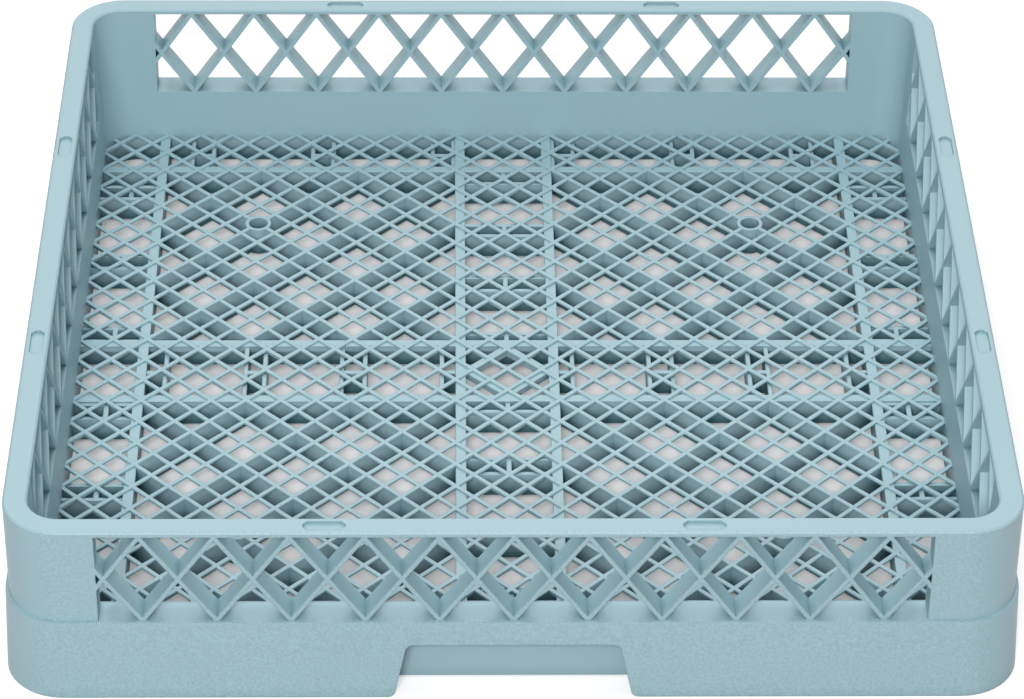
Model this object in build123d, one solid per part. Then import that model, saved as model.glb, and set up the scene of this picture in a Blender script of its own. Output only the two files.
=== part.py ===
from build123d import *
import math
import os

# Open dishwasher rack, moulded in one piece: a square tray with latticed side walls and a
# ribbed grille for a floor. Millimetres, origin at the middle of the underside, +Z up.

# Overall
SIDE = 500.0             # outside of the base, both ways
HEIGHT = 100.0           # underside to the top of the rim
BASE_CORNER = 30.0       # radius of the skirt's outer corners
SKIN = 2.5               # moulded wall thickness of the hollow parts

# Lower band of the wall
SKIRT_HEIGHT = 46.0      # underside to the window sill
SKIRT_LEAN = 1.7         # each skirt face leans in by this much over its height
LEDGE = 1.8              # step between the skirt and the wall above it

# Upper wall and rim
WALL_DEPTH = 12.0        # rim's outer edge to its inner edge
INNER_LEAN = 3.0         # each inner face leans in by this much from rim to floor
RIM_THICK = 2.8          # rim above the windows
RIM_BEVEL = 0.9          # broken edges along both sides of the rim
SLOT_LENGTH = 20.6       # blind recesses in the rim, two on each side
SLOT_WIDTH = 6.8
SLOT_CORNER = 2.3        # cut across the recess's corners
SLOT_DEPTH = 1.6
SLOT_SPACING = 182.0

# Window lattice
POST = 45.5              # closed wall at each end of a side
BAR = 2.3                # thickness of a lattice bar
BAR_CROSSINGS = 12       # bar crossings along one side
END_GAP = 3.5            # last crossing to the post

# Hand notch in the skirt
NOTCH_TOP = 104.0        # width at the top
NOTCH_FLARE = 6.5        # each end spreads by this much down to the underside
NOTCH_HEIGHT = 32.0
NOTCH_ROUND = 4.0

# Floor grille
FLOOR_TOP = 16.5         # underside to the surface that the dishes stand on
FOOT_GAP = 0.5           # the deep ribs stop this far above the underside
RIB = 2.2                # thickness of every rib and web
MESH_DEPTH = 2.0         # depth of the shallow ribs
STRIP_WIDTH = 5.6        # webs with the flat strips beside them
STRIP_THICK = 3.0
BORDER = 36.0            # outer band of the floor, panel edge to wall
PANEL_CELLS = 3          # deep diamonds along one edge of a panel
RING_OUT = 7.3           # radius of the hollow bosses
RING_IN = 5.3
HUB_OUT = 24.5           # middle of the floor to the tip of the diamond there
HUB_WIDTH = 6.5          # its band, measured along the arm

# Worked out from the sizes above
SKIRT_TOP_SIDE = SIDE - 2 * SKIRT_LEAN
RIM_SIDE = SKIRT_TOP_SIDE - 2 * LEDGE
RIM_CORNER = BASE_CORNER - LEDGE
MOUTH_SIDE = RIM_SIDE - 2 * WALL_DEPTH
MOUTH_CORNER = RIM_CORNER - WALL_DEPTH
FLOOR_SIDE = MOUTH_SIDE - 2 * INNER_LEAN
SKIRT_ANGLE = math.degrees(math.atan(SKIRT_LEAN / SKIRT_HEIGHT))
INNER_ANGLE = math.degrees(math.atan(INNER_LEAN / (HEIGHT - FLOOR_TOP)))
CELL = (FLOOR_SIDE / 2 - BORDER) / (PANEL_CELLS + 0.5)
PANEL_NEAR = CELL / 2
PANEL_FAR = PANEL_NEAR + PANEL_CELLS * CELL
WINDOW_HALF = RIM_SIDE / 2 - POST
WINDOW_TOP = HEIGHT - RIM_THICK
BAR_PITCH = 2 * (WINDOW_HALF - END_GAP) / (BAR_CROSSINGS - 1)
MESH_BASE = FLOOR_TOP - MESH_DEPTH
STRIP_BASE = MESH_BASE - STRIP_THICK


def block(side, corner, bottom, top, angle=0.0):
    """A square block with rounded corners that narrows upwards by angle."""
    outline = Pos(0, 0, bottom) * Rectangle(side, side)
    solid = extrude(outline, amount=top - bottom, taper=angle)
    level = solid.faces().filter_by(Plane.XY).edges()
    return fillet(solid.edges() - level, corner)


def hollow(margin):
    """The inside of the rack, open at the top and through the floor, grown by margin."""
    inside = block(MOUTH_SIDE + 2 * margin, MOUTH_CORNER + margin, 0, HEIGHT, INNER_ANGLE)
    return Pos(0, 0, HEIGHT) * Rot(180, 0, 0) * inside


def strip(near, far, length):
    """A flat bar along X between two Y values."""
    return Pos(0, (near + far) / 2) * Rectangle(length, far - near)


def four_ways(shape):
    """The shape and its three copies turned about the middle of the rack."""
    return [Rot(0, 0, 90 * turn) * shape for turn in range(4)]


def wall_block():
    """Skirt, wall and rim before the openings: stepped outside, leaning inside."""
    skirt = block(SIDE, BASE_CORNER, 0, SKIRT_HEIGHT, SKIRT_ANGLE)
    upper = block(RIM_SIDE, RIM_CORNER, SKIRT_HEIGHT, HEIGHT)
    walls = skirt + upper - hollow(0)
    return chamfer(walls.faces().sort_by(Axis.Z)[-1].edges(), RIM_BEVEL)


def wall_core():
    """The hollow channel under the wall, rising into the four corner posts."""
    channel = block(SIDE - 2 * SKIN, BASE_CORNER - SKIN, 0, SKIRT_HEIGHT - SKIN, SKIRT_ANGLE)
    posts = block(RIM_SIDE - 2 * SKIN, RIM_CORNER - SKIN, 0, WINDOW_TOP)
    reach = POST - SKIN
    corner = Pos(RIM_SIDE / 2 - reach / 2, RIM_SIDE / 2 - reach / 2, WINDOW_TOP / 2)
    corners = Part() + four_ways(corner * Box(reach, reach, WINDOW_TOP))
    return channel + (posts & corners) - hollow(SKIN)


def window_cut():
    """The openings of one side wall: a long window less its crossing bars."""
    rise = WINDOW_TOP - SKIRT_HEIGHT
    middle = (WINDOW_TOP + SKIRT_HEIGHT) / 2
    tilt = math.degrees(math.atan2(rise, BAR_PITCH))
    length = math.hypot(rise, BAR_PITCH) + 2 * BAR
    first = -BAR_PITCH * (BAR_CROSSINGS - 1) / 2
    bars = [
        Pos(first + index * BAR_PITCH, middle) * Rot(0, 0, lean) * Rectangle(length, BAR)
        for index in range(BAR_CROSSINGS)
        for lean in (tilt, -tilt)
    ]
    openings = Pos(0, middle) * Rectangle(2 * WINDOW_HALF, rise) - (Sketch() + bars)
    front = Plane((0, -SIDE / 2, 0), x_dir=(1, 0, 0), z_dir=(0, -1, 0))
    depth = (SIDE - FLOOR_SIDE) / 2
    return extrude(front * openings, amount=-depth)


def notch_cut():
    """The hand notch of one side, through the skirt and not the inner wall."""
    half = NOTCH_TOP / 2
    spread = half + NOTCH_FLARE
    outline = Polygon((-spread, 0), (spread, 0), (half, NOTCH_HEIGHT), (-half, NOTCH_HEIGHT), align=None)
    reach = spread + 3 * NOTCH_ROUND
    field = Pos(0, SKIRT_HEIGHT / 2) * Rectangle(2 * reach, SKIRT_HEIGHT)
    skirt = field - outline
    corners = [
        corner
        for corner in skirt.vertices()
        if abs(corner.X) < spread + NOTCH_ROUND and corner.Y < SKIRT_HEIGHT - NOTCH_ROUND
    ]
    opening = field - fillet(corners, NOTCH_ROUND)
    front = Plane((0, -SIDE / 2, 0), x_dir=(1, 0, 0), z_dir=(0, -1, 0))
    return extrude(front * opening, amount=-(SKIRT_LEAN + 2 * SKIN))


def slot_cuts():
    """The eight blind recesses in the rim."""
    across = RIM_SIDE / 2 - WALL_DEPTH / 2
    recess = chamfer(Rectangle(SLOT_LENGTH, SLOT_WIDTH).vertices(), SLOT_CORNER)
    pair = [Pos(way * SLOT_SPACING / 2, -across, HEIGHT) * recess for way in (-1, 1)]
    cut = extrude(Sketch() + pair, amount=-SLOT_DEPTH)
    return four_ways(cut)


def lattice():
    """Diagonal ribs crossing over the whole floor, every third rib of the full mesh."""
    count = math.ceil(FLOOR_SIDE / CELL)
    length = 1.5 * FLOOR_SIDE
    ribs = [
        Pos(index * CELL / 2, way * index * CELL / 2) * Rot(0, 0, -45 * way) * Rectangle(length, RIB)
        for index in range(-count, count + 1)
        for way in (-1, 1)
    ]
    return Sketch() + ribs


def floor():
    """The grille in three layers: deep ribs and webs, flat strips, and the shallow ribs on top."""
    seat = FLOOR_SIDE + SKIN
    field = RectangleRounded(seat, seat, MOUTH_CORNER + SKIN / 2)
    mesh = lattice() & field

    panel_side = PANEL_FAR - PANEL_NEAR
    panel_middle = (PANEL_NEAR + PANEL_FAR) / 2
    panels = Sketch() + four_ways(Pos(panel_middle, panel_middle) * Rectangle(panel_side, panel_side))

    arm_web = strip(PANEL_NEAR - RIB, PANEL_NEAR, seat)
    border_web = strip(PANEL_FAR - RIB / 2, PANEL_FAR + RIB / 2, seat)
    arm_flat = strip(PANEL_NEAR - STRIP_WIDTH, PANEL_NEAR - RIB / 2, seat)
    border_flat = strip(PANEL_FAR, PANEL_FAR - RIB / 2 + STRIP_WIDTH, seat)
    webs = four_ways(arm_web) + four_ways(border_web)
    flats = four_ways(arm_flat) + four_ways(border_flat)

    outer = math.sqrt(2) * HUB_OUT
    inner = math.sqrt(2) * (HUB_OUT - HUB_WIDTH)
    hub = Rot(0, 0, 45) * (Rectangle(outer, outer) - Rectangle(inner, inner))

    boss_place = PANEL_FAR - CELL
    bosses = four_ways(Pos(boss_place, boss_place) * Circle(RING_OUT))
    bores = four_ways(Pos(boss_place, boss_place) * Circle(RING_IN))

    deep = (mesh & panels) + webs + bosses
    outlines = [deep, deep + flats + hub, mesh + bosses]
    levels = [FOOT_GAP, STRIP_BASE, MESH_BASE, FLOOR_TOP]
    return [
        extrude(Pos(0, 0, bottom) * ((outline & field) - bores), amount=top - bottom)
        for outline, bottom, top in zip(outlines, levels, levels[1:])
    ]


walls = wall_block() - wall_core()
walls -= four_ways(window_cut())
walls -= four_ways(notch_cut())
walls -= slot_cuts()
rack = (walls + floor()).clean()

os.makedirs("parts", exist_ok=True)
export_step(rack.solid(), "parts/rack.step")
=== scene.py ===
"""Looks of an open dishwasher rack, moulded in one piece, on a plain pale floor."""

import logging
import math
from dataclasses import dataclass
from enum import Enum
from typing import Callable

import bmesh
import bpy
from mathutils import Matrix, Vector


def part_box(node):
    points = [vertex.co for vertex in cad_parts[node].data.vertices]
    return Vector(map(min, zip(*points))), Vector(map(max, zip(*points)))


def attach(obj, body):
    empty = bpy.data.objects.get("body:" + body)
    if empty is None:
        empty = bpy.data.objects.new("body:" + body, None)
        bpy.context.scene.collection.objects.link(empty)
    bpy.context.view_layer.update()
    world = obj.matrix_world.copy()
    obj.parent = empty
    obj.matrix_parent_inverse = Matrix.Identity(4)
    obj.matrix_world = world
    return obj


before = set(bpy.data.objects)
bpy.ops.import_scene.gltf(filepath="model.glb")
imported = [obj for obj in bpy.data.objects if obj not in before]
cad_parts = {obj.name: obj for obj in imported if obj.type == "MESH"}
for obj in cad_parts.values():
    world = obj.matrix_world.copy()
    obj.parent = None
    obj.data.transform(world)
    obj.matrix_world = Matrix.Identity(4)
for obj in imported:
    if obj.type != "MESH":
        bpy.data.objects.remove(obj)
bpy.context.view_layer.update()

MM = 0.001
BODY = "root"
RACK = "rack"
DIAGONAL = math.sqrt(2)
QUARTER_TURN = math.pi / 2
EIGHTH_TURN = math.pi / 4
WHITE = (1.0, 1.0, 1.0, 1.0)
FULL = (0.0, 1.0)

Colour = tuple[float, float, float, float]
Place = tuple[float, float, float]
Span = tuple[float, float]

log = logging.getLogger("dishwasher_rack")


class Side(Enum):
    """The four sides of the rack, as turns about its upright axis."""

    FRONT = 0
    RIGHT = 90
    BACK = 180
    LEFT = 270

    @property
    def turn(self) -> float:
        """The side's turn in radians."""
        return math.radians(self.value)


class Joining(Enum):
    """How two values are made into one."""

    LARGER = "MAXIMUM"
    PRODUCT = "MULTIPLY"


class Mixing(Enum):
    """How two colours are made into one."""

    SHARES = "MIX"
    PRODUCT = "MULTIPLY"


class Bench:
    """Modelling steps that every piece shares, done as by hand.

    Attributes:
        HOLE_SIDES: sides of a round cutter.
        NEAR: heights closer than this count as one.
        ALONG: cosine above which a face looks along a direction.
        SHARP: angle in radians above which an edge is eased.
    """

    HOLE_SIDES = 24
    NEAR = 0.01 * MM
    ALONG = 0.99
    SHARP = 1.0

    @staticmethod
    def clear() -> None:
        """Deselects everything, the carried-over nodes included."""
        if bpy.context.object and bpy.context.object.mode != "OBJECT":
            bpy.ops.object.mode_set(mode="OBJECT")
        bpy.ops.object.select_all(action="DESELECT")

    @staticmethod
    def hold(piece: bpy.types.Object) -> None:
        """Makes one piece the only selected and active one.

        Args:
            piece: the object to work on.
        """
        Bench.clear()
        piece.select_set(True)
        bpy.context.view_layer.objects.active = piece

    @staticmethod
    def settle(name: str) -> bpy.types.Object:
        """Names the active object and puts its place, turn and scale into its mesh.

        Args:
            name: the object's name.

        Returns:
            The active object.
        """
        piece = bpy.context.active_object
        piece.name = name
        piece.data.name = name
        bpy.ops.object.transform_apply(location=True, rotation=True, scale=True)
        return piece

    @staticmethod
    def block(name: str, low: Vector, high: Vector) -> bpy.types.Object:
        """Adds a cube at its size and place.

        Args:
            name: the new object's name.
            low: lowest corner.
            high: highest corner.

        Returns:
            The new object.
        """
        Bench.clear()
        bpy.ops.mesh.primitive_cube_add(size=1, location=(low + high) / 2, scale=high - low)
        return Bench.settle(name)

    @staticmethod
    def pick_faces(piece: bpy.types.Object, wanted: Callable[[bmesh.types.BMFace], bool]) -> None:
        """Enters edit mode with only the wanted faces selected.

        Args:
            piece: the object to edit.
            wanted: says whether a face is to be selected.
        """
        Bench.hold(piece)
        bpy.ops.object.mode_set(mode="EDIT")
        bpy.ops.mesh.select_mode(type="FACE")
        bpy.ops.mesh.select_all(action="DESELECT")
        mesh = bmesh.from_edit_mesh(piece.data)
        for face in mesh.faces:
            face.select_set(wanted(face))
        bmesh.update_edit_mesh(piece.data)

    @staticmethod
    def pick_edges(piece: bpy.types.Object, wanted: Callable[[bmesh.types.BMEdge], bool]) -> None:
        """Enters edit mode with only the wanted edges selected.

        Args:
            piece: the object to edit.
            wanted: says whether an edge is to be selected.
        """
        Bench.hold(piece)
        bpy.ops.object.mode_set(mode="EDIT")
        bpy.ops.mesh.select_mode(type="EDGE")
        bpy.ops.mesh.select_all(action="DESELECT")
        mesh = bmesh.from_edit_mesh(piece.data)
        for edge in mesh.edges:
            edge.select_set(wanted(edge))
        bmesh.update_edit_mesh(piece.data)

    @staticmethod
    def pull(piece: bpy.types.Object, normal: Vector, step: float,
             wanted: Callable[[Vector], bool] = lambda place: True) -> None:
        """Extrudes the faces that look along a direction.

        Args:
            piece: the object to edit.
            normal: the direction, of length 1.
            step: how far the faces move along it.
            wanted: says, from a face's middle, whether that face moves.
        """
        def is_end(face: bmesh.types.BMFace) -> bool:
            """Whether a face looks along the direction and is wanted."""
            return face.normal.dot(normal) > Bench.ALONG and wanted(face.calc_center_median())

        Bench.pick_faces(piece, is_end)
        bpy.ops.mesh.extrude_region_move(TRANSFORM_OT_translate={"value": normal * step})
        bpy.ops.object.mode_set(mode="OBJECT")

    @staticmethod
    def trim(piece: bpy.types.Object, place: Vector, outward: Vector, closed: bool) -> None:
        """Cuts a piece off at a plane.

        Args:
            piece: the object to cut.
            place: a point of the plane.
            outward: the side of the plane that is thrown away.
            closed: whether the cut is filled with a face.
        """
        Bench.hold(piece)
        bpy.ops.object.mode_set(mode="EDIT")
        bpy.ops.mesh.select_all(action="SELECT")
        bpy.ops.mesh.bisect(plane_co=place, plane_no=outward, clear_outer=True, use_fill=closed)
        bpy.ops.object.mode_set(mode="OBJECT")

    @staticmethod
    def thicken(piece: bpy.types.Object, depth: float) -> None:
        """Gives a flat sheet its depth downwards.

        Args:
            piece: a sheet that faces up.
            depth: its thickness.
        """
        Bench.hold(piece)
        sheet = piece.modifiers.new("depth", "SOLIDIFY")
        sheet.thickness = depth
        sheet.offset = -1
        bpy.ops.object.modifier_apply(modifier=sheet.name)

    @staticmethod
    def bore(piece: bpy.types.Object, place: Vector, radius: float, depth: float) -> None:
        """Cuts a round hole through a piece from above.

        Args:
            piece: the object to cut.
            place: middle of the hole.
            radius: the hole's radius.
            depth: length of the cutter, half of it above the place.
        """
        Bench.clear()
        bpy.ops.mesh.primitive_cylinder_add(
            vertices=Bench.HOLE_SIDES, radius=radius, depth=depth, location=place)
        cutter = Bench.settle("cutter")
        Bench.hold(piece)
        hole = piece.modifiers.new("hole", "BOOLEAN")
        hole.operation = "DIFFERENCE"
        hole.object = cutter
        bpy.ops.object.modifier_apply(modifier=hole.name)
        bpy.data.objects.remove(cutter)

    @staticmethod
    def ease_top(piece: bpy.types.Object, top: float, width: float) -> None:
        """Breaks the sharp edges round a piece's top faces.

        Args:
            piece: the object to edit.
            top: height of the top faces.
            width: width of the bevel.
        """
        def is_rim(edge: bmesh.types.BMEdge) -> bool:
            """Whether an edge lies at the top between a level face and an upright one."""
            level = all(abs(corner.co.z - top) < Bench.NEAR for corner in edge.verts)
            return level and len(edge.link_faces) == 2 and edge.calc_face_angle() > Bench.SHARP

        Bench.pick_edges(piece, is_rim)
        bpy.ops.mesh.bevel(offset=width, segments=1, affect="EDGES")
        bpy.ops.object.mode_set(mode="OBJECT")

    @staticmethod
    def copy(piece: bpy.types.Object, name: str, shift: Vector, turn: float = 0.0) -> bpy.types.Object:
        """Copies a piece with a mesh of its own.

        Args:
            piece: the object to copy.
            name: the copy's name.
            shift: how far the copy moves before it is turned.
            turn: turn about the rack's upright axis, in radians.

        Returns:
            The copy.
        """
        Bench.hold(piece)
        bpy.ops.object.duplicate(linked=False)
        twin = bpy.context.active_object
        twin.name = name
        twin.data.name = name
        bpy.ops.transform.translate(value=shift)
        bpy.ops.object.transform_apply(location=True, rotation=True, scale=True)
        bpy.ops.transform.rotate(value=turn, orient_axis="Z", center_override=(0, 0, 0))
        bpy.ops.object.transform_apply(location=True, rotation=True, scale=True)
        return twin


def join(nodes: bpy.types.Nodes, links: bpy.types.NodeLinks, way: Joining,
         first: bpy.types.NodeSocket, second: bpy.types.NodeSocket) -> bpy.types.NodeSocket:
    """Adds a node that makes one value of two.

    Args:
        nodes: a node tree's nodes.
        links: its links.
        way: how the values are joined.
        first: one value.
        second: the other value.

    Returns:
        The socket with the joined value.
    """
    joined = nodes.new("ShaderNodeMath")
    joined.operation = way.value
    for socket, value in zip(joined.inputs, (first, second)):
        links.new(value, socket)
    return joined.outputs["Value"]


def blend(nodes: bpy.types.Nodes, links: bpy.types.NodeLinks, share: bpy.types.NodeSocket,
          first: Colour | bpy.types.NodeSocket, second: Colour | bpy.types.NodeSocket,
          way: Mixing = Mixing.SHARES) -> bpy.types.NodeSocket:
    """Adds a node that mixes two colours.

    Args:
        nodes: a node tree's nodes.
        links: its links.
        share: the socket with the second colour's share.
        first: a colour, or the socket that gives it.
        second: the other colour.
        way: how they are mixed.

    Returns:
        The socket with the mixed colour.
    """
    mix = nodes.new("ShaderNodeMix")
    mix.data_type = "RGBA"
    mix.blend_type = way.value
    links.new(share, mix.inputs["Factor"])
    for name, colour in (("A", first), ("B", second)):
        if isinstance(colour, bpy.types.NodeSocket):
            links.new(colour, mix.inputs[name])
        else:
            mix.inputs[name].default_value = colour
    return mix.outputs["Result"]


def square_reach(nodes: bpy.types.Nodes, links: bpy.types.NodeLinks,
                 place: bpy.types.NodeSocket) -> bpy.types.NodeSocket:
    """Adds the nodes for the larger of the distances along X and Y from the rack's middle.

    Args:
        nodes: a node tree's nodes.
        links: its links.
        place: the socket that gives the place.

    Returns:
        The socket that gives the distance.
    """
    split = nodes.new("ShaderNodeSeparateXYZ")
    links.new(place, split.inputs["Vector"])
    sizes = []
    for axis in "XY":
        size = nodes.new("ShaderNodeMath")
        size.operation = "ABSOLUTE"
        links.new(split.outputs[axis], size.inputs[0])
        sizes.append(size.outputs["Value"])
    return join(nodes, links, Joining.LARGER, *sizes)


def seen_rays(nodes: bpy.types.Nodes, links: bpy.types.NodeLinks) -> bpy.types.NodeSocket:
    """Adds the nodes that tell rays that show the background from rays that light the rack.

    Args:
        nodes: a node tree's nodes.
        links: its links.

    Returns:
        A socket that is 1 for camera, glossy and transmission rays.
    """
    rays = nodes.new("ShaderNodeLightPath").outputs
    seen = rays["Is Camera Ray"]
    for kind in ("Is Glossy Ray", "Is Transmission Ray"):
        seen = join(nodes, links, Joining.LARGER, seen, rays[kind])
    return seen


def spread(nodes: bpy.types.Nodes, links: bpy.types.NodeLinks, value: bpy.types.NodeSocket,
           source: Span, target: Span) -> bpy.types.NodeSocket:
    """Adds a node that carries one range of values over to another.

    Args:
        nodes: a node tree's nodes.
        links: its links.
        value: the socket to carry over.
        source: the range that it has.
        target: the range that it gets.

    Returns:
        The socket with the new range.
    """
    ramp = nodes.new("ShaderNodeMapRange")
    for name, number in zip(("From Min", "From Max", "To Min", "To Max"), source + target):
        ramp.inputs[name].default_value = number
    links.new(value, ramp.inputs["Value"])
    return ramp.outputs["Result"]


@dataclass(frozen=True)
class MouldedPlastic:
    """Pale blue-green polypropylene: satin, with a blasted grain on the outside of the rack, and painted
    shade low in the floor and in narrow crevices.
    """

    name: str = "moulded_plastic"
    light: Colour = (0.408, 0.600, 0.656, 1.0)
    deep: Colour = (0.373, 0.565, 0.626, 1.0)
    refraction: float = 1.49
    cloud_scale: float = 9.0
    cloud_detail: float = 3.0
    grain_scale: float = 750.0
    grain_detail: float = 2.0
    grain_range: Span = (0.32, 0.68)
    grain_tint: Span = (0.90, 1.08)
    grain_height: float = 0.25 * MM
    inside_grain: float = 0.10
    # Painted shade: a dark colour mixed into the base colour low in the floor and in narrow crevices.
    painted_shade: Colour = (0.045, 0.145, 0.165, 1.0)
    painted_shade_heights: Span = (2.0 * MM, 12.3 * MM)
    painted_crevice_shade_reach: float = 14.0 * MM
    painted_crevice_shade_range: Span = (0.06, 0.46)
    painted_crevice_shade_samples: int = 2
    painted_shade_wall_range: Span = (231.5 * MM, 232.5 * MM)
    roughness: Span = (0.38, 0.52)
    edge_round: Span = (0.3 * MM, 0.9 * MM)
    edge_samples: int = 3
    outside_range: Span = (243.5 * MM, 245.5 * MM)

    def material(self) -> bpy.types.Material:
        """Builds the node material.

        Returns:
            The new material.
        """
        material = bpy.data.materials.new(self.name)
        material.use_nodes = True
        nodes = material.node_tree.nodes
        links = material.node_tree.links
        shader = nodes["Principled BSDF"]
        shader.inputs["IOR"].default_value = self.refraction
        place = nodes.new("ShaderNodeTexCoord").outputs["Object"]
        grain = self.noise(nodes, links, place, self.grain_scale, self.grain_detail)
        reach = square_reach(nodes, links, place)
        outside = spread(nodes, links, reach, self.outside_range, (self.inside_grain, 1.0))

        cloud = self.noise(nodes, links, place, self.cloud_scale, self.cloud_detail)
        tint = blend(nodes, links, cloud, self.deep, self.light)
        fleck = spread(nodes, links, grain, self.grain_range, self.grain_tint)
        speckle = blend(nodes, links, outside, tint, fleck, Mixing.PRODUCT)
        # Painted shade: the base colour goes towards the dark shade colour low in the floor and in
        # crevices.
        free_of_painted_shade = self.free_of_painted_shade(nodes, links, place, reach)
        links.new(blend(nodes, links, free_of_painted_shade, self.painted_shade, speckle), shader.inputs["Base Color"])
        gloss = spread(nodes, links, grain, self.grain_range, self.roughness)
        links.new(gloss, shader.inputs["Roughness"])

        round_edge = nodes.new("ShaderNodeBevel")
        round_edge.samples = self.edge_samples
        radius = spread(nodes, links, reach, self.outside_range, self.edge_round)
        links.new(radius, round_edge.inputs["Radius"])
        bump = nodes.new("ShaderNodeBump")
        bump.inputs["Distance"].default_value = self.grain_height
        links.new(grain, bump.inputs["Height"])
        links.new(outside, bump.inputs["Strength"])
        links.new(round_edge.outputs["Normal"], bump.inputs["Normal"])
        links.new(bump.outputs["Normal"], shader.inputs["Normal"])
        return material

    def free_of_painted_shade(self, nodes: bpy.types.Nodes, links: bpy.types.NodeLinks, place: bpy.types.NodeSocket,
            reach: bpy.types.NodeSocket) -> bpy.types.NodeSocket:
        """Adds the nodes for the painted shade: the colour goes dark low down in the floor and in narrow
        crevices.

        Args:
            nodes: the material's nodes.
            links: the material's links.
            place: the socket that gives the place on the rack.
            reach: the socket that gives the distance from the rack's middle.

        Returns:
            A socket that is 0 in full painted shade and 1 out of it.
        """
        split = nodes.new("ShaderNodeSeparateXYZ")
        links.new(place, split.inputs["Vector"])
        # Painted shade: darker towards the underside of the floor, with the walls left out.
        height = spread(nodes, links, split.outputs["Z"], self.painted_shade_heights, FULL)
        wall = spread(nodes, links, reach, self.painted_shade_wall_range, FULL)
        # Painted shade: darker in narrow crevices, driven by ambient occlusion.
        crevice = nodes.new("ShaderNodeAmbientOcclusion")
        crevice.samples = self.painted_crevice_shade_samples
        crevice.inputs["Distance"].default_value = self.painted_crevice_shade_reach
        open_air = spread(nodes, links, crevice.outputs["AO"], self.painted_crevice_shade_range, FULL)
        above = join(nodes, links, Joining.LARGER, height, wall)
        return join(nodes, links, Joining.PRODUCT, above, open_air)

    @staticmethod
    def noise(nodes: bpy.types.Nodes, links: bpy.types.NodeLinks, place: bpy.types.NodeSocket,
              scale: float, detail: float) -> bpy.types.NodeSocket:
        """Adds a noise texture.

        Args:
            nodes: the material's nodes.
            links: the material's links.
            place: the socket that gives the place on the rack.
            scale: how fine the noise is.
            detail: how many finer layers it has.

        Returns:
            The socket with its strength.
        """
        texture = nodes.new("ShaderNodeTexNoise")
        texture.inputs["Scale"].default_value = scale
        texture.inputs["Detail"].default_value = detail
        links.new(place, texture.inputs["Vector"])
        return texture.outputs["Fac"]


@dataclass(frozen=True)
class PaleFloor:
    """White paper that shows as white round the rack and keeps the rack's shadow; its white glow is weaker
    under the rack, which paints shade there.
    """

    name: str = "pale_floor"
    colour: Colour = (0.90, 0.875, 0.88, 1.0)
    thrown_back: Colour = (0.30, 0.30, 0.30, 1.0)
    roughness: float = 0.9
    sheen: float = 0.1
    # Camera-only glow: white round the rack, weaker under it, where this paints shade.
    glow_with_painted_shade: Span = (0.10, 0.45)
    painted_shade_edge: Span = (231.0 * MM, 236.0 * MM)
    fibre_scale: float = 60.0
    fibre_strength: float = 0.05

    def material(self) -> bpy.types.Material:
        """Builds the node material.

        Returns:
            The new material.
        """
        material = bpy.data.materials.new(self.name)
        material.use_nodes = True
        nodes = material.node_tree.nodes
        links = material.node_tree.links
        shader = nodes["Principled BSDF"]
        seen = seen_rays(nodes, links)
        paper = blend(nodes, links, seen, self.thrown_back, self.colour)
        links.new(paper, shader.inputs["Base Color"])
        shader.inputs["Roughness"].default_value = self.roughness
        shader.inputs["Specular IOR Level"].default_value = self.sheen
        shader.inputs["Emission Color"].default_value = WHITE
        place = nodes.new("ShaderNodeTexCoord").outputs["Object"]
        fibre = nodes.new("ShaderNodeTexNoise")
        fibre.inputs["Scale"].default_value = self.fibre_scale
        bump = nodes.new("ShaderNodeBump")
        bump.inputs["Strength"].default_value = self.fibre_strength
        links.new(place, fibre.inputs["Vector"])
        links.new(fibre.outputs["Fac"], bump.inputs["Height"])
        links.new(bump.outputs["Normal"], shader.inputs["Normal"])

        # Painted shade under the rack: the camera-only white glow is weaker within the rack's walls.
        reach = square_reach(nodes, links, place)
        glow_with_painted_shade = spread(nodes, links, reach, self.painted_shade_edge, self.glow_with_painted_shade)
        glow = join(nodes, links, Joining.PRODUCT, glow_with_painted_shade, seen)
        links.new(glow, shader.inputs["Emission Strength"])
        return material


@dataclass
class Tie:
    """Two webs side by side with a link between their middles, seen from above as an H."""

    spacing: float
    reach: float
    web: float = 2.5 * MM
    link: float = 2.8 * MM
    bottom: float = 0.8 * MM
    top: float = 14.3 * MM
    edge: float = 0.3 * MM

    def build(self, name: str) -> bpy.types.Object:
        """Models the tie at the middle of the rack, with its webs along X.

        Args:
            name: the new object's name.

        Returns:
            The tie.
        """
        inside = (self.spacing - self.web) / 2
        low = Vector((-self.link / 2, -inside, self.bottom))
        high = Vector((self.link / 2, inside, self.top))
        tie = Bench.block(name, low, high)
        for way in (-1, 1):
            Bench.pull(tie, Vector((0, way, 0)), self.web)
        length = self.reach - self.link / 2
        for way in (-1, 1):
            Bench.pull(tie, Vector((way, 0, 0)), length, lambda place: abs(place.y) > inside)
        Bench.ease_top(tie, self.top, self.edge)
        return tie

    def build_half(self, name: str, way: int) -> bpy.types.Object:
        """Models one web of the tie with half of the link.

        Args:
            name: the new object's name.
            way: the side of the middle that is kept along Y, 1 or -1.

        Returns:
            The half tie.
        """
        tie = self.build(name)
        Bench.trim(tie, Vector(), Vector((0, -way, 0)), closed=True)
        return tie


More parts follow.
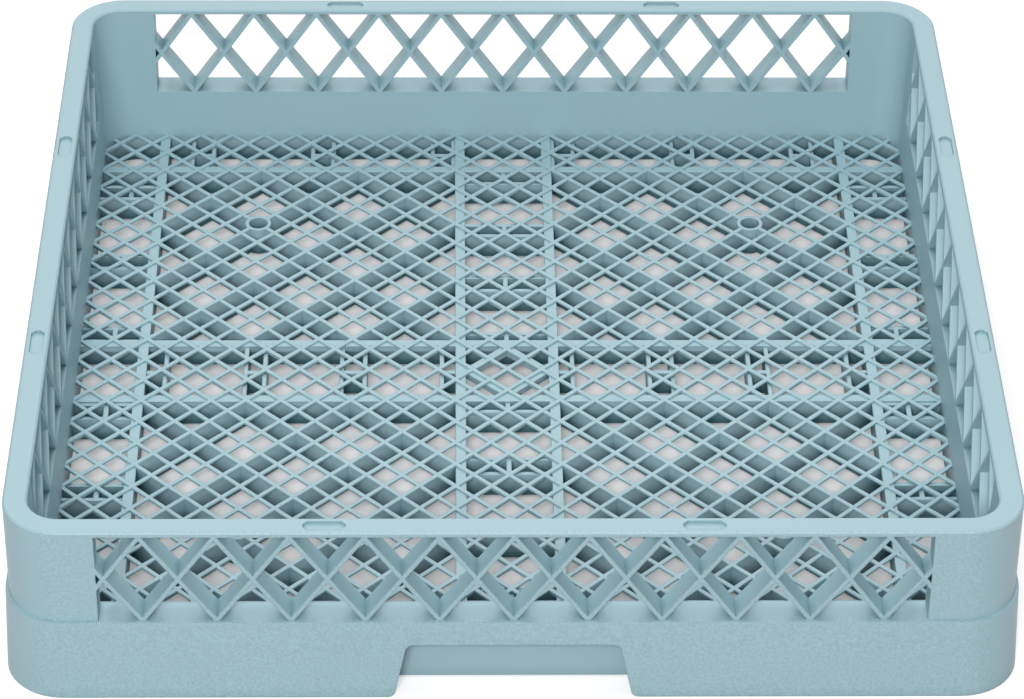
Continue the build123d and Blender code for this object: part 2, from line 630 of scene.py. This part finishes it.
@dataclass
class FloorGrille:
    """The fine parts of the floor, between the deep ribs and webs of the moulding."""

    half: float
    wall: float = 18.5 * MM
    border: float = 36.0 * MM
    panel_cells: int = 3
    arm_cells: int = 1
    ribs_per_cell: int = 3
    deep_rib: float = 2.2 * MM
    top: float = 16.44 * MM
    depth: float = 1.15 * MM
    rib: float = 2.4 * MM
    edge: float = 0.25 * MM
    sunk: float = 0.6 * MM
    corner: float = 16.0 * MM
    strip_width: float = 5.6 * MM
    strip_low: float = 14.4 * MM
    strip_top: float = 15.35 * MM
    strip_step: float = 0.02 * MM
    boss_clear: float = 6.3 * MM
    boss_cut: float = 4.6 * MM
    hub_out: float = 24.5 * MM
    hub_width: float = 6.5 * MM
    hub_top: float = 15.31 * MM
    hub_depth: float = 0.9 * MM
    twin_ties: tuple[Span, ...] = ((83.0 * MM, 12.4 * MM), (135.9 * MM, 10.3 * MM))
    near_tie: float = 35.2 * MM
    far_tie: float = 184.2 * MM
    border_spacing: float = 12.0 * MM
    border_ties: int = 6
    border_pitch: float = 1.25

    @property
    def floor(self) -> float:
        """Middle of the floor to the foot of a wall."""
        return self.half - self.wall

    @property
    def cell(self) -> float:
        """Side to side across a deep diamond, along X."""
        return (self.floor - self.border) / (self.panel_cells + self.arm_cells / 2)

    @property
    def near(self) -> float:
        """Middle of the floor to the panels' nearer edges."""
        return self.arm_cells * self.cell / 2

    @property
    def far(self) -> float:
        """Middle of the floor to the panels' further edges."""
        return self.near + self.panel_cells * self.cell

    def fit(self, sheet: bpy.types.Object) -> None:
        """Trims a sheet to the floor, a little way into the walls and their round corners.

        Args:
            sheet: a flat sheet larger than the floor.
        """
        reach = self.floor + self.sunk
        corner = (reach - self.corner) * DIAGONAL + self.corner
        for side in Side:
            square = Matrix.Rotation(side.turn, 3, "Z") @ Vector((1, 0, 0))
            Bench.trim(sheet, square * reach, square, closed=False)
            skew = Matrix.Rotation(side.turn, 3, "Z") @ Vector((1, 1, 0)).normalized()
            Bench.trim(sheet, skew * corner, skew, closed=False)

    def net(self) -> bpy.types.Object:
        """Models the shallow diagonal ribs as one net from wall to wall.

        Returns:
            The net.
        """
        pitch = self.cell / self.ribs_per_cell / DIAGONAL
        cells = 2 * math.ceil(self.floor * DIAGONAL / pitch)
        Bench.clear()
        bpy.ops.mesh.primitive_grid_add(
            x_subdivisions=cells, y_subdivisions=cells, size=cells * pitch,
            location=(0, 0, self.top), rotation=(0, 0, EIGHTH_TURN))
        net = Bench.settle("floor_net")
        Bench.pick_faces(net, lambda face: True)
        bpy.ops.mesh.inset(thickness=self.rib / 2, use_individual=True)
        bpy.ops.mesh.delete(type="FACE")
        bpy.ops.object.mode_set(mode="OBJECT")
        self.fit(net)
        Bench.thicken(net, self.depth)
        Bench.ease_top(net, self.top, self.edge)
        boss = self.far - self.cell
        for side in Side:
            place = Matrix.Rotation(side.turn, 3, "Z") @ Vector((boss, boss, self.top))
            Bench.bore(net, place, self.boss_clear, self.boss_cut)
        return net

    def strips(self) -> list[bpy.types.Object]:
        """Models the raised tops of the flat strips beside the webs.

        The strips along Y lie a hair lower than those along X that they cross.

        Returns:
            The strips.
        """
        reach = self.floor + self.sunk
        starts = {"arm_strip": self.near - self.strip_width, "border_strip": self.far - self.deep_rib / 2}
        strips = []
        for name, start in starts.items():
            low = Vector((-reach, start, self.strip_low))
            high = Vector((reach, start + self.strip_width, self.strip_top))
            model = Bench.block(name, low, high)
            Bench.ease_top(model, self.strip_top, self.edge)
            for side in Side:
                drop = Vector((0, 0, -self.strip_step if side in (Side.LEFT, Side.RIGHT) else 0))
                strips.append(Bench.copy(model, f"{name}_{side.name.lower()}", drop, side.turn))
            bpy.data.objects.remove(model)
        return strips

    def hub(self) -> bpy.types.Object:
        """Models the raised top of the diamond in the middle of the floor.

        Returns:
            The diamond's top.
        """
        Bench.clear()
        bpy.ops.mesh.primitive_plane_add(
            size=DIAGONAL * self.hub_out, location=(0, 0, self.hub_top), rotation=(0, 0, EIGHTH_TURN))
        hub = Bench.settle("hub_diamond")
        Bench.pick_faces(hub, lambda face: True)
        bpy.ops.mesh.inset(thickness=self.hub_width / DIAGONAL)
        bpy.ops.mesh.delete(type="FACE")
        bpy.ops.object.mode_set(mode="OBJECT")
        Bench.thicken(hub, self.hub_depth)
        Bench.ease_top(hub, self.hub_top, self.edge)
        return hub

    def arm_ties(self) -> list[bpy.types.Object]:
        """Models the ties across the four arms between the panels.

        Returns:
            The ties.
        """
        reach = self.near - self.deep_rib / 2
        outer = self.far - self.deep_rib / 2
        models = [
            (Tie(spacing, reach).build(f"arm_tie_{round(place / MM)}"), place)
            for place, spacing in self.twin_ties
        ]
        near = Tie(2 * (self.near_tie - self.near), reach).build_half("arm_near_tie", 1)
        models.append((near, self.near))
        far = Tie(2 * (outer - self.far_tie), reach).build_half("arm_far_tie", -1)
        models.append((far, outer))
        ties = []
        for side in Side:
            for model, place in models:
                name = f"{model.name}_{side.name.lower()}"
                ties.append(Bench.copy(model, name, Vector((0, place, 0)), side.turn))
        for model, _ in models:
            bpy.data.objects.remove(model)
        return ties

    def wall_ties(self) -> list[bpy.types.Object]:
        """Models the ties between the outer webs and the walls.

        Returns:
            The ties.
        """
        reach = (self.floor + self.sunk - self.far) / 2
        middle = self.floor + self.sunk - reach
        upright = Tie(self.border_spacing, reach).build("wall_tie_upright")
        tie = Bench.copy(upright, "wall_tie", Vector(), QUARTER_TURN)
        pitch = self.border_pitch * self.cell
        first = -pitch * (self.border_ties - 1) / 2
        ties = []
        for side in Side:
            for index in range(self.border_ties):
                shift = Vector((first + index * pitch, -middle, 0))
                ties.append(Bench.copy(tie, f"wall_tie_{side.name.lower()}_{index + 1}", shift, side.turn))
        for model in (upright, tie):
            bpy.data.objects.remove(model)
        return ties

    def build(self, finish: bpy.types.Material) -> list[bpy.types.Object]:
        """Builds and dresses every fine part of the floor.

        Args:
            finish: the rack's material.

        Returns:
            The new pieces.
        """
        pieces = [self.net(), *self.strips(), self.hub(), *self.arm_ties(), *self.wall_ties()]
        for piece in pieces:
            piece.data.materials.clear()
            piece.data.materials.append(finish)
            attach(piece, BODY)
        return pieces


@dataclass(frozen=True)
class Lamp:
    """A large soft lamp that looks at the rack."""

    name: str
    place: Place
    size: float
    power: float

    def build(self, target: Vector) -> bpy.types.Object:
        """Adds the lamp.

        Args:
            target: the point that it faces.

        Returns:
            The lamp's object.
        """
        Bench.clear()
        bpy.ops.object.light_add(type="AREA", location=self.place)
        lamp = bpy.context.active_object
        lamp.name = self.name
        lamp.data.size = self.size
        lamp.data.energy = self.power
        lamp.rotation_euler = (target - Vector(self.place)).to_track_quat("-Z", "Y").to_euler()
        return lamp


@dataclass
class Studio:
    """Floor, soft light and the camera at the photograph's viewing angle."""

    floor_size: float = 12.0
    floor_drop: float = 0.2 * MM
    world_light: float = 0.30
    lamps: tuple[Lamp, ...] = (
        Lamp("back_lamp", (0.0, 2.0, 2.0), 1.6, 18.0),
        Lamp("top_lamp", (0.0, 0.0, 2.4), 0.9, 10.0),
        Lamp("front_lamp", (-0.3, -2.45, 1.75), 0.7, 50.0),
    )
    lamp_target: Place = (0.0, 0.0, 50 * MM)
    lens: float = 138.2514
    sensor: float = 36.0
    camera_place: Place = (-30.586 * MM, -1711.006 * MM, 1270.992 * MM)
    camera_right: Place = (0.99987765, -0.01304866, 0.00862688)
    camera_up: Place = (0.00068307, 0.587395, 0.8093001)

    def floor(self) -> bpy.types.Object:
        """Adds the floor.

        Returns:
            The floor's object.
        """
        Bench.clear()
        bpy.ops.mesh.primitive_plane_add(size=self.floor_size, location=(0, 0, -self.floor_drop))
        floor = Bench.settle("studio_floor")
        floor.data.materials.append(PaleFloor().material())
        return floor

    def world(self) -> None:
        """Sets an even white surround, seen as white."""
        world = bpy.data.worlds.new("studio_world")
        bpy.context.scene.world = world
        world.use_nodes = True
        nodes = world.node_tree.nodes
        links = world.node_tree.links
        strength = spread(nodes, links, seen_rays(nodes, links), FULL, (self.world_light, 1.0))
        nodes["Background"].inputs["Color"].default_value = WHITE
        links.new(strength, nodes["Background"].inputs["Strength"])

    def camera(self) -> bpy.types.Object:
        """Adds the camera.

        Returns:
            The camera's object.
        """
        Bench.clear()
        bpy.ops.object.camera_add()
        camera = bpy.context.active_object
        camera.name = "photo_camera"
        camera.data.lens = self.lens
        camera.data.sensor_width = self.sensor
        right = Vector(self.camera_right).normalized()
        up = Vector(self.camera_up).normalized()
        turn = Matrix((right, up, right.cross(up))).transposed()
        camera.matrix_world = Matrix.LocRotScale(Vector(self.camera_place), turn, None)
        bpy.context.scene.camera = camera
        return camera

    def build(self) -> None:
        """Builds the whole studio."""
        self.floor()
        self.world()
        for lamp in self.lamps:
            lamp.build(Vector(self.lamp_target))
        self.camera()
        bpy.context.scene.view_settings.view_transform = "Standard"


@dataclass
class MouldedRack:
    """The moulding itself, carried over from the frame and dressed."""

    node: bpy.types.Object

    def dress(self, finish: bpy.types.Material) -> None:
        """Gives the moulding its finish.

        Args:
            finish: the rack's material.
        """
        for place in self.node.material_slots:
            place.material = finish


def main() -> None:
    """Builds the rack's looks and the studio, and reports each piece."""
    logging.basicConfig(level=logging.INFO, format="%(name)s: %(message)s")
    plastic = MouldedPlastic().material()
    MouldedRack(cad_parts[RACK]).dress(plastic)
    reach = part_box(RACK)[1].x
    for piece in FloorGrille(half=reach).build(plastic):
        log.info("%s: %d faces", piece.name, len(piece.data.polygons))
    Studio().build()


if __name__ == "__main__":
    main()
